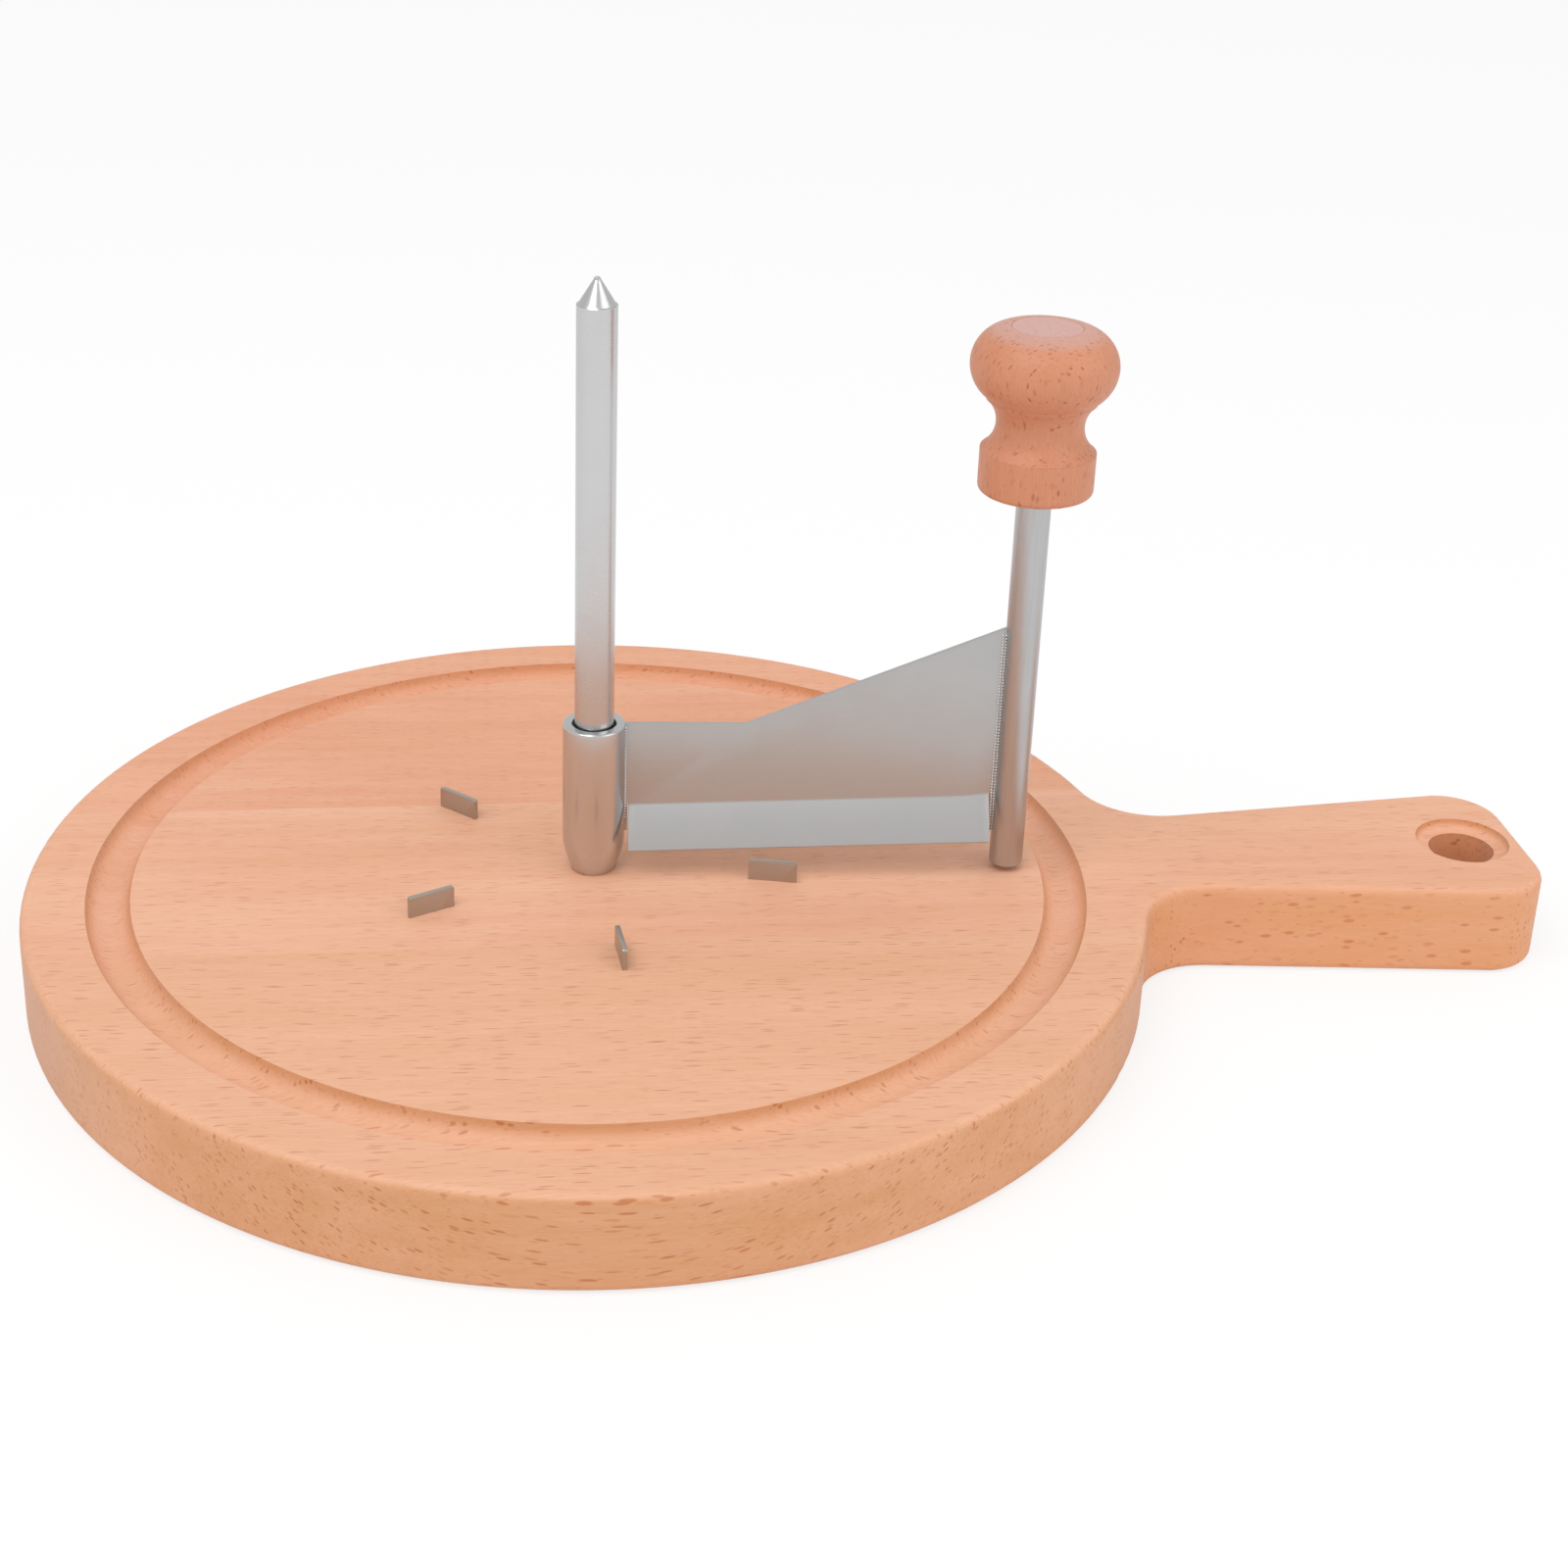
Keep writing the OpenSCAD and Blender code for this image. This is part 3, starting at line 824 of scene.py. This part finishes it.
@dataclass
class Blade:
    """The folded sheet between hub and rod, with its weld beads."""

    sheet_finish: Steel
    weld_finish: Steel
    thickness: float = 1.0 * MM
    hub_edge: float = 6.1
    rod_edge: float = 83.3
    hub_tab: float = 6.9
    rod_tab: float = 82.0
    slit: float = 0.2
    tab_foot: float = 8.5
    hub_height: float = 33.0
    climb_start: float = 31.0
    top: float = 54.7
    fold_at_hub: float = 14.8
    fold_slope: float = 1.65
    flap_angle: float = 35.0
    flap_length: float = 10.2
    bend_radius: float = 1.3
    bend_steps: int = 5
    curl_span: float = 9.0
    curl_rise: float = 0.45
    columns: int = 40
    bead_pitch: float = 0.66
    bead_radius: float = 0.3

    def fold(self, reach: float) -> float:
        """The fold's height at a distance from the spindle, both in millimetres."""
        start = self.hub_tab + self.slit
        return self.fold_at_hub + (reach - start) * math.tan(math.radians(self.fold_slope))

    def upper_sheet(self) -> bpy.types.Object:
        """Draws the flat of the sheet as one face, with a notch for the flap.

        Returns:
            The face, in the plane y = 0 with the spindle at the origin.
        """
        left, right = self.hub_tab, self.rod_tab
        outline = [(self.hub_edge, self.tab_foot), (left, self.tab_foot), (left, self.fold(left) + self.slit),
                   (left + self.slit, self.fold(left + self.slit)),
                   (right - self.slit, self.fold(right - self.slit)),
                   (right, self.fold(right) + self.slit), (right, self.tab_foot),
                   (self.rod_edge, self.tab_foot), (self.rod_edge, self.top), (self.climb_start, self.hub_height),
                   (self.hub_edge, self.hub_height)]
        points = [(reach * MM, 0.0, above(height)) for reach, height in outline]
        piece = Bench.dot("blade_sheet", points[0])
        Bench.draw([*points, points[0]])
        bpy.ops.mesh.select_all(action="SELECT")
        bpy.ops.mesh.remove_doubles(threshold=WELD_LIMIT)
        bpy.ops.mesh.select_all(action="SELECT")
        bpy.ops.mesh.edge_face_add()
        return piece

    def choose_fold(self, piece: bpy.types.Object) -> None:
        """Selects the edges along the fold line, and leaves edit mode open."""
        bpy.ops.mesh.select_mode(type="EDGE")
        bpy.ops.mesh.select_all(action="DESELECT")
        bpy.ops.object.mode_set(mode="OBJECT")
        for edge in piece.data.edges:
            ends = [piece.data.vertices[i].co for i in edge.vertices]
            edge.select = all(abs(end.z - above(self.fold(end.x / MM))) < 0.01 * MM for end in ends)
        bpy.ops.object.mode_set(mode="EDIT")

    def bend_flap(self, piece: bpy.types.Object) -> None:
        """Extrudes the fold line round the bend and down to the cutting edge."""
        self.choose_fold(piece)
        bpy.ops.mesh.subdivide(number_cuts=self.columns)
        self.choose_fold(piece)
        angle = math.radians(self.flap_angle)
        spots = [(self.bend_radius * (math.cos(a) - 1.0), -self.bend_radius * math.sin(a))
                 for a in (angle * i / self.bend_steps for i in range(self.bend_steps + 1))]
        flat = self.flap_length - self.bend_radius * angle
        spots.append((spots[-1][0] - flat * math.sin(angle), spots[-1][1] - flat * math.cos(angle)))
        for here, there in zip(spots, spots[1:]):
            step = (0.0, (there[0] - here[0]) * MM, (there[1] - here[1]) * MM)
            bpy.ops.mesh.extrude_region_move(TRANSFORM_OT_translate={"value": step})

    def curl_corner(self, piece: bpy.types.Object) -> None:
        """Lifts the fold's end beside the rod, where the sheet pulled up as it was bent."""
        start = self.rod_tab - self.slit - self.curl_span
        bpy.ops.object.mode_set(mode="OBJECT")
        for vertex in piece.data.vertices:
            reach = vertex.co.x / MM
            near_fold = abs(vertex.co.z - above(self.fold(reach))) < self.bend_radius * MM
            inside = start < reach < self.rod_tab - 0.5 * self.slit
            if near_fold and inside:
                vertex.co.z += self.curl_rise * MM * ((reach - start) / self.curl_span) ** 2

    def sheet(self) -> bpy.types.Object:
        """Models the whole sheet.

        Returns:
            The sheet, at the crank's rest angle.
        """
        piece = self.upper_sheet()
        self.bend_flap(piece)
        self.curl_corner(piece)
        bpy.ops.object.mode_set(mode="EDIT")
        Bench.close(piece)
        Bench.finish(piece, "SOLIDIFY", thickness=self.thickness, offset=0.0, use_even_offset=True)
        Bench.finish(piece, "BEVEL", width=0.13 * MM, segments=2, limit_method="ANGLE",
                     angle_limit=math.radians(50.0))
        piece.rotation_euler = (0.0, 0.0, CRANK_ANGLE)
        Bench.settle(piece)
        Bench.smooth(piece, 30.0)
        return piece

    def bead_row(self, reach: float, side: float, low: float, high: float) -> bpy.types.Object:
        """Lays a row of weld beads up a seam.

        Args:
            reach: The seam's distance from the spindle, in millimetres.
            side: Its distance in front of the sheet's middle, in millimetres.
            low: The height of the lowest bead, in millimetres.
            high: The height of the highest bead, in millimetres.

        Returns:
            The row.
        """
        Bench.clear()
        bpy.ops.mesh.primitive_uv_sphere_add(segments=8, ring_count=6, radius=self.bead_radius * MM,
                                             location=(reach * MM, side * MM, above(low)))
        piece = bpy.context.active_object
        piece.scale = (0.85, 1.0, 0.95)
        Bench.settle(piece)
        count = int((high - low) / self.bead_pitch) + 1
        Bench.finish(piece, "ARRAY", count=count, use_relative_offset=False, use_constant_offset=True,
                     constant_offset_displace=(0.0, 0.0, self.bead_pitch * MM))
        return piece

    def welds(self, name: str, rows: Sequence[tuple[float, float]], low: float, high: float) -> bpy.types.Object:
        """Models the beads of one seam, in front of the sheet and behind it.

        Args:
            name: The piece's name.
            rows: The place of each row, as its reach and its distance in front of the sheet's middle.
            low: The height of the lowest bead, in millimetres.
            high: The height of the highest bead, in millimetres.

        Returns:
            The beads, at the crank's rest angle.
        """
        beads = [self.bead_row(reach, face * side, low, high) for reach, side in rows for face in (-1.0, 1.0)]
        piece = Bench.joined(beads, name)
        piece.rotation_euler = (0.0, 0.0, CRANK_ANGLE)
        Bench.settle(piece)
        Bench.smooth(piece, 80.0)
        return piece

    def build(self) -> None:
        """Models the sheet and its welds."""
        seat(self.sheet(), "crank", "blade_stainless", self.sheet_finish.material(), "blade")
        weld = self.weld_finish.material()
        hub_rows = [(6.42, 0.62)]
        rod_rows = [(82.95, 0.62), (82.35, 0.55)]
        seat(self.welds("hub_seam", hub_rows, 11.6, 32.4), "crank", "weld_stainless", weld, "hub_weld")
        seat(self.welds("rod_seam", rod_rows, 8.8, 53.2), "crank", "weld_stainless", weld, "rod_weld")


@dataclass
class CrankRod:
    """The upright rod, with a thinner journal inside the knob, and the knob's fasteners."""

    finish: Steel
    fastener_finish: Steel
    radius: float = 3.5 * MM
    journal: float = 2.75 * MM
    foot: float = 1.0
    foot_round: float = 0.8
    shoulder: float = 84.0

    def build(self) -> None:
        """Models the rod and dresses the fasteners."""
        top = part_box("crank_rod")[1].z
        rounding = arc((self.radius - self.foot_round * MM, above(self.foot + self.foot_round)),
                       self.foot_round * MM, -90.0, 0.0, 6)
        section = [(0.0, above(self.foot)), *rounding, (self.radius, above(self.shoulder - 0.2)),
                   (self.radius - 0.2 * MM, above(self.shoulder)), (self.journal, above(self.shoulder)),
                   (self.journal, top), (0.0, top)]
        piece = Bench.turned("rod_bar", section, ROD_AXIS)
        Bench.smooth(piece, 30.0)
        seat(piece, "crank", "brushed_stainless", self.finish.material(), "crank_rod")
        fastener = self.fastener_finish.material()
        for node in ("knob_screw", "knob_washer"):
            dress(frame["nodes"][node], fastener)


@dataclass
class Knob:
    """The turned knob and the plug that closes its top."""

    finish: Beech
    plug_finish: Beech
    foot_radius: float = 11.5 * MM
    foot_round: float = 1.2
    foot_top: float = 8.66
    neck: Point = (15.2 * MM, 14.0)
    neck_round: float = 6.5
    low_head: Point = (6.55 * MM, 26.0)
    low_round: float = 8.0
    high_head: Point = (7.05 * MM, 26.0)
    high_round: float = 7.5
    plug_radius: float = 7.0 * MM
    bore: float = 2.8 * MM

    def section(self, foot: float, top: float, floor: float) -> list[Point]:
        """The knob's half section, closed into a ring round its bore.

        Args:
            foot: The row height of the knob's underside.
            top: The row height of its flat top.
            floor: The row height of the pocket's floor under the plug.

        Returns:
            Radii and heights, up the outside and down the bore.
        """
        def spot(point: Point) -> Point:
            """A point of the outline, with its height counted from the knob's underside."""
            return point[0], foot + point[1] * MM

        foot_arc = arc((self.foot_radius - self.foot_round * MM, foot + self.foot_round * MM),
                       self.foot_round * MM, -90.0, 0.0, 6)
        neck_arc = arc(spot(self.neck), self.neck_round * MM, 235.0, 130.5, 20)
        low_arc = arc(spot(self.low_head), self.low_round * MM, -56.0, 0.0, 12)
        high_arc = arc(spot(self.high_head), self.high_round * MM, 4.0, 88.0, 18)
        shoulder = [(self.foot_radius, foot + (self.foot_top - 0.15) * MM),
                    (self.foot_radius - 0.12 * MM, foot + self.foot_top * MM)]
        return [(self.bore, foot), *foot_arc, *shoulder, *neck_arc, *low_arc, *high_arc,
                (self.plug_radius, top), (self.plug_radius, floor), (self.bore, floor)]

    def build(self) -> None:
        """Models the knob and its plug."""
        low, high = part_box("knob")
        plug_low, plug_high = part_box("knob_plug")
        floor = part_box("knob_washer")[0].z - 0.1 * MM
        knob = Bench.turned("knob_grip", self.section(low.z, high.z, floor), ROD_AXIS, Edge.RING, 128)
        Bench.smooth(knob, 24.0)
        seat(knob, "grip", "beech_knob", self.finish.material(), "knob")
        rim = self.plug_radius
        section = [(0.0, plug_low.z), (rim, plug_low.z), (rim, plug_high.z - 0.12 * MM),
                   (rim - 0.12 * MM, plug_high.z), (0.0, plug_high.z)]
        plug = Bench.turned("knob_cap", section, ROD_AXIS)
        Bench.smooth(plug, 24.0)
        # The plug's pale tone is partly end grain and partly painted highlight.
        seat(plug, "grip", "beech_end_grain", self.plug_finish.material(), "knob_plug")


@dataclass
class Studio:
    """The photograph's camera, a pale floor and soft light."""

    eye: Colour = (-0.02851, -0.46856, 0.2775)
    turn: float = -8.1
    pitch: float = 23.5
    roll: float = 2.25
    focal: float = 2606.7
    picture: float = 1600.0
    centre_line: float = 647.5
    sensor: float = 36.0
    floor_tone: float = 0.93
    floor_size: float = 6.0
    world_light: float = 0.72

    def camera(self) -> None:
        """Sets up the camera that took the photograph."""
        data = bpy.data.cameras.new("photo_camera")
        data.sensor_width = self.sensor
        data.lens = self.sensor * self.focal / self.picture
        data.shift_y = (self.centre_line - self.picture / 2.0) / self.picture
        data.clip_start = 0.01
        camera = bpy.data.objects.new("photo_camera", data)
        bpy.context.scene.collection.objects.link(camera)
        tilt = Matrix.Rotation(math.radians(90.0 - self.pitch), 4, "X")
        lean = Matrix.Rotation(math.radians(self.roll), 4, "Z")
        heading = Matrix.Rotation(math.radians(self.turn), 4, "Z")
        camera.matrix_world = Matrix.Translation(self.eye) @ heading @ tilt @ lean
        bpy.context.scene.camera = camera

    def floor(self) -> None:
        """Lays a floor that the camera sees as white paper, with the object's soft shadow on it."""
        Bench.clear()
        bpy.ops.mesh.primitive_plane_add(size=self.floor_size, location=(0.0, 0.0, -0.0002))
        floor = bpy.context.active_object
        floor.name = "paper_floor"
        g = Graph("paper")
        tree = g.tree
        g.surface(Base_Color=(self.floor_tone,) * 3, Roughness=0.9, Specular_IOR_Level=0.1)
        glow = tree.nodes.new("ShaderNodeEmission")
        glow.inputs["Strength"].default_value = 1.02
        blend = tree.nodes.new("ShaderNodeMixShader")
        path = tree.nodes.new("ShaderNodeLightPath")
        seen = Wire(g, path.outputs["Is Camera Ray"]) * 0.75
        g.feed(blend.inputs[0], seen)
        tree.links.new(g.shader.outputs[0], blend.inputs[1])
        tree.links.new(glow.outputs[0], blend.inputs[2])
        output = next(node for node in tree.nodes if node.type == "OUTPUT_MATERIAL")
        tree.links.new(blend.outputs[0], output.inputs["Surface"])
        dress(floor, g.material)

    def world(self) -> None:
        """Surrounds the scene with soft white light, and shows the camera a white backdrop."""
        world = bpy.data.worlds.new("white_room")
        bpy.context.scene.world = world
        world.use_nodes = True
        tree = world.node_tree
        ground = tree.nodes["Background"]
        ground.inputs["Color"].default_value = (1.0, 1.0, 1.0, 1.0)
        ground.inputs["Strength"].default_value = self.world_light
        white = tree.nodes.new("ShaderNodeBackground")
        white.inputs["Strength"].default_value = 1.0
        path = tree.nodes.new("ShaderNodeLightPath")
        blend = tree.nodes.new("ShaderNodeMixShader")
        tree.links.new(path.outputs["Is Camera Ray"], blend.inputs[0])
        tree.links.new(ground.outputs[0], blend.inputs[1])
        tree.links.new(white.outputs[0], blend.inputs[2])
        tree.links.new(blend.outputs[0], tree.nodes["World Output"].inputs["Surface"])

    def lamp(self, name: str, place: Colour, size: float, power: float) -> None:
        """Hangs a square lamp that faces the object.

        Args:
            name: The lamp's name.
            place: Where it hangs.
            size: The length of its sides.
            power: Its power in watts.
        """
        data = bpy.data.lights.new(name, "AREA")
        data.size = size
        data.energy = power
        lamp = bpy.data.objects.new(name, data)
        bpy.context.scene.collection.objects.link(lamp)
        aim = Vector((0.03, 0.0, 0.04)) - Vector(place)
        lamp.matrix_world = Matrix.Translation(place) @ aim.to_track_quat("-Z", "Y").to_matrix().to_4x4()

    def build(self) -> None:
        """Sets up everything that isn't part of the object."""
        bpy.context.scene.view_settings.view_transform = "Standard"
        self.camera()
        self.floor()
        self.world()
        self.lamp("key_lamp", (-0.5, -0.5, 1.3), 0.9, 7.0)
        self.lamp("fill_lamp", (0.9, -0.6, 0.8), 0.9, 3.0)


def main() -> None:
    """Builds the scene piece by piece and notes its size."""
    logging.basicConfig(level=logging.INFO, format="%(name)s: %(message)s")
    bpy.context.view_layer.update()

    polished = Steel("steel_polished", tint=srgb(205, 205, 206), roughness=0.24)
    turned = Steel("steel_turned", tint=srgb(205, 205, 206), roughness=0.2,
                   marks=(0.02, 0.02, 0.00012), mark_tone=0.12)
    drawn = Steel("steel_drawn", tint=srgb(190, 190, 191), roughness=0.34,
                  marks=(0.0006, 0.0006, 0.012), mark_tone=0.25)
    rolled = Steel("steel_rolled", tint=srgb(188, 188, 188), roughness=0.36, metallic=0.75,
                   marks=(0.02, 0.0004, 0.0004))
    bead = Steel("steel_bead", tint=srgb(225, 225, 225), roughness=0.25, marks=(0.0004, 0.0004, 0.0004))
    fastener = Steel("steel_fastener", tint=srgb(180, 180, 182), roughness=0.3)
    plate = Steel("steel_plate", tint=srgb(185, 178, 170), roughness=0.33, marks=(0.003, 0.003, 0.0002))
    # The liner's dark grey is painted shade: it keeps the narrow gap between hub bore and spindle dark.
    liner = Moulding("liner_dark_painted_shade", tint=srgb(70, 70, 74), roughness=0.5)
    # The knob's end colour, the pale pinkish grey on its upward faces, is partly end grain and partly a painted
    # highlight from the light above.
    knob_wood = Beech(
        "beech_knob", ground=srgb(216, 150, 118), deep=srgb(206, 136, 102), side=srgb(214, 146, 112),
        end=srgb(210, 164, 152), ray=srgb(150, 82, 54), side_ray=srgb(160, 88, 58),
        grain=Axis.Z, figure=(0.05, 0.31, 0.12), ray_length=3.2 * MM, ray_pitch=0.5 * MM, roughness=0.42)
    # The plug's pale pinkish grey is partly its end grain and partly a painted highlight: its flat top faces the
    # light above.
    plug_wood = Beech(
        "beech_plug_end_grain_and_highlight", ground=srgb(212, 168, 158), deep=srgb(204, 156, 144), side=srgb(206, 150, 130),
        end=srgb(212, 170, 162), ray=srgb(186, 136, 122), side_ray=srgb(186, 130, 112),
        grain=Axis.Z, figure=(0.15, 0.21, 0.42), ray_length=2.4 * MM, ray_pitch=0.4 * MM, roughness=0.42)

    parts = [
        Board(),
        Spindle(polished, fastener),
        HoldingPlates(plate),
        Hub(turned, liner),
        Blade(rolled, bead),
        CrankRod(drawn, fastener),
        Knob(knob_wood, plug_wood),
        Studio(),
    ]
    for part in parts:
        LOG.info("building %s", type(part).__name__)
        part.build()


if __name__ == "__main__":
    main()
